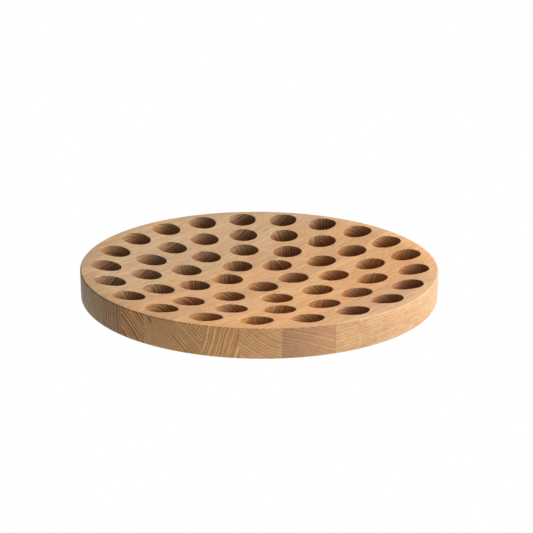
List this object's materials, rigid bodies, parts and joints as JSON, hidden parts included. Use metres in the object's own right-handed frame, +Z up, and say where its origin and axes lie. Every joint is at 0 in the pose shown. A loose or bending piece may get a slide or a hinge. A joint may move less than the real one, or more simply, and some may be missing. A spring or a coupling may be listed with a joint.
{
  "type": "round wooden egg holder tray",
  "caption": "Round dished oak tray glued up from straight staves, with concentric rings of blind round pockets that hold eggs or round fruit.",
  "frame": {"origin": "centre of the flat underside, on the surface that the tray stands on", "axes": "+Z up through the middle of the dish, +X along the grain of the staves, +Y across the staves towards stave_13"},
  "size_m": [0.37, 0.37, 0.03],
  "materials": {
    "oak_stave_01": "oiled oak, satin",
    "oak_stave_02": "oiled oak, satin",
    "oak_stave_03": "oiled oak, satin",
    "oak_stave_04": "oiled oak, satin",
    "oak_stave_05": "oiled oak, satin",
    "oak_stave_06": "oiled oak, satin",
    "oak_stave_07": "oiled oak, satin",
    "oak_stave_08": "oiled oak, satin",
    "oak_stave_09": "oiled oak, satin",
    "oak_stave_10": "oiled oak, satin",
    "oak_stave_11": "oiled oak, satin",
    "oak_stave_12": "oiled oak, satin",
    "oak_stave_13": "oiled oak, satin"
  },
  "bodies": {
    "root": {"stave_01": "oak_stave_01", "stave_02": "oak_stave_02", "stave_03": "oak_stave_03", "stave_04": "oak_stave_04", "stave_05": "oak_stave_05", "stave_06": "oak_stave_06", "stave_07": "oak_stave_07", "stave_08": "oak_stave_08", "stave_09": "oak_stave_09", "stave_10": "oak_stave_10", "stave_11": "oak_stave_11", "stave_12": "oak_stave_12", "stave_13": "oak_stave_13"}
  },
  "joints": []
}
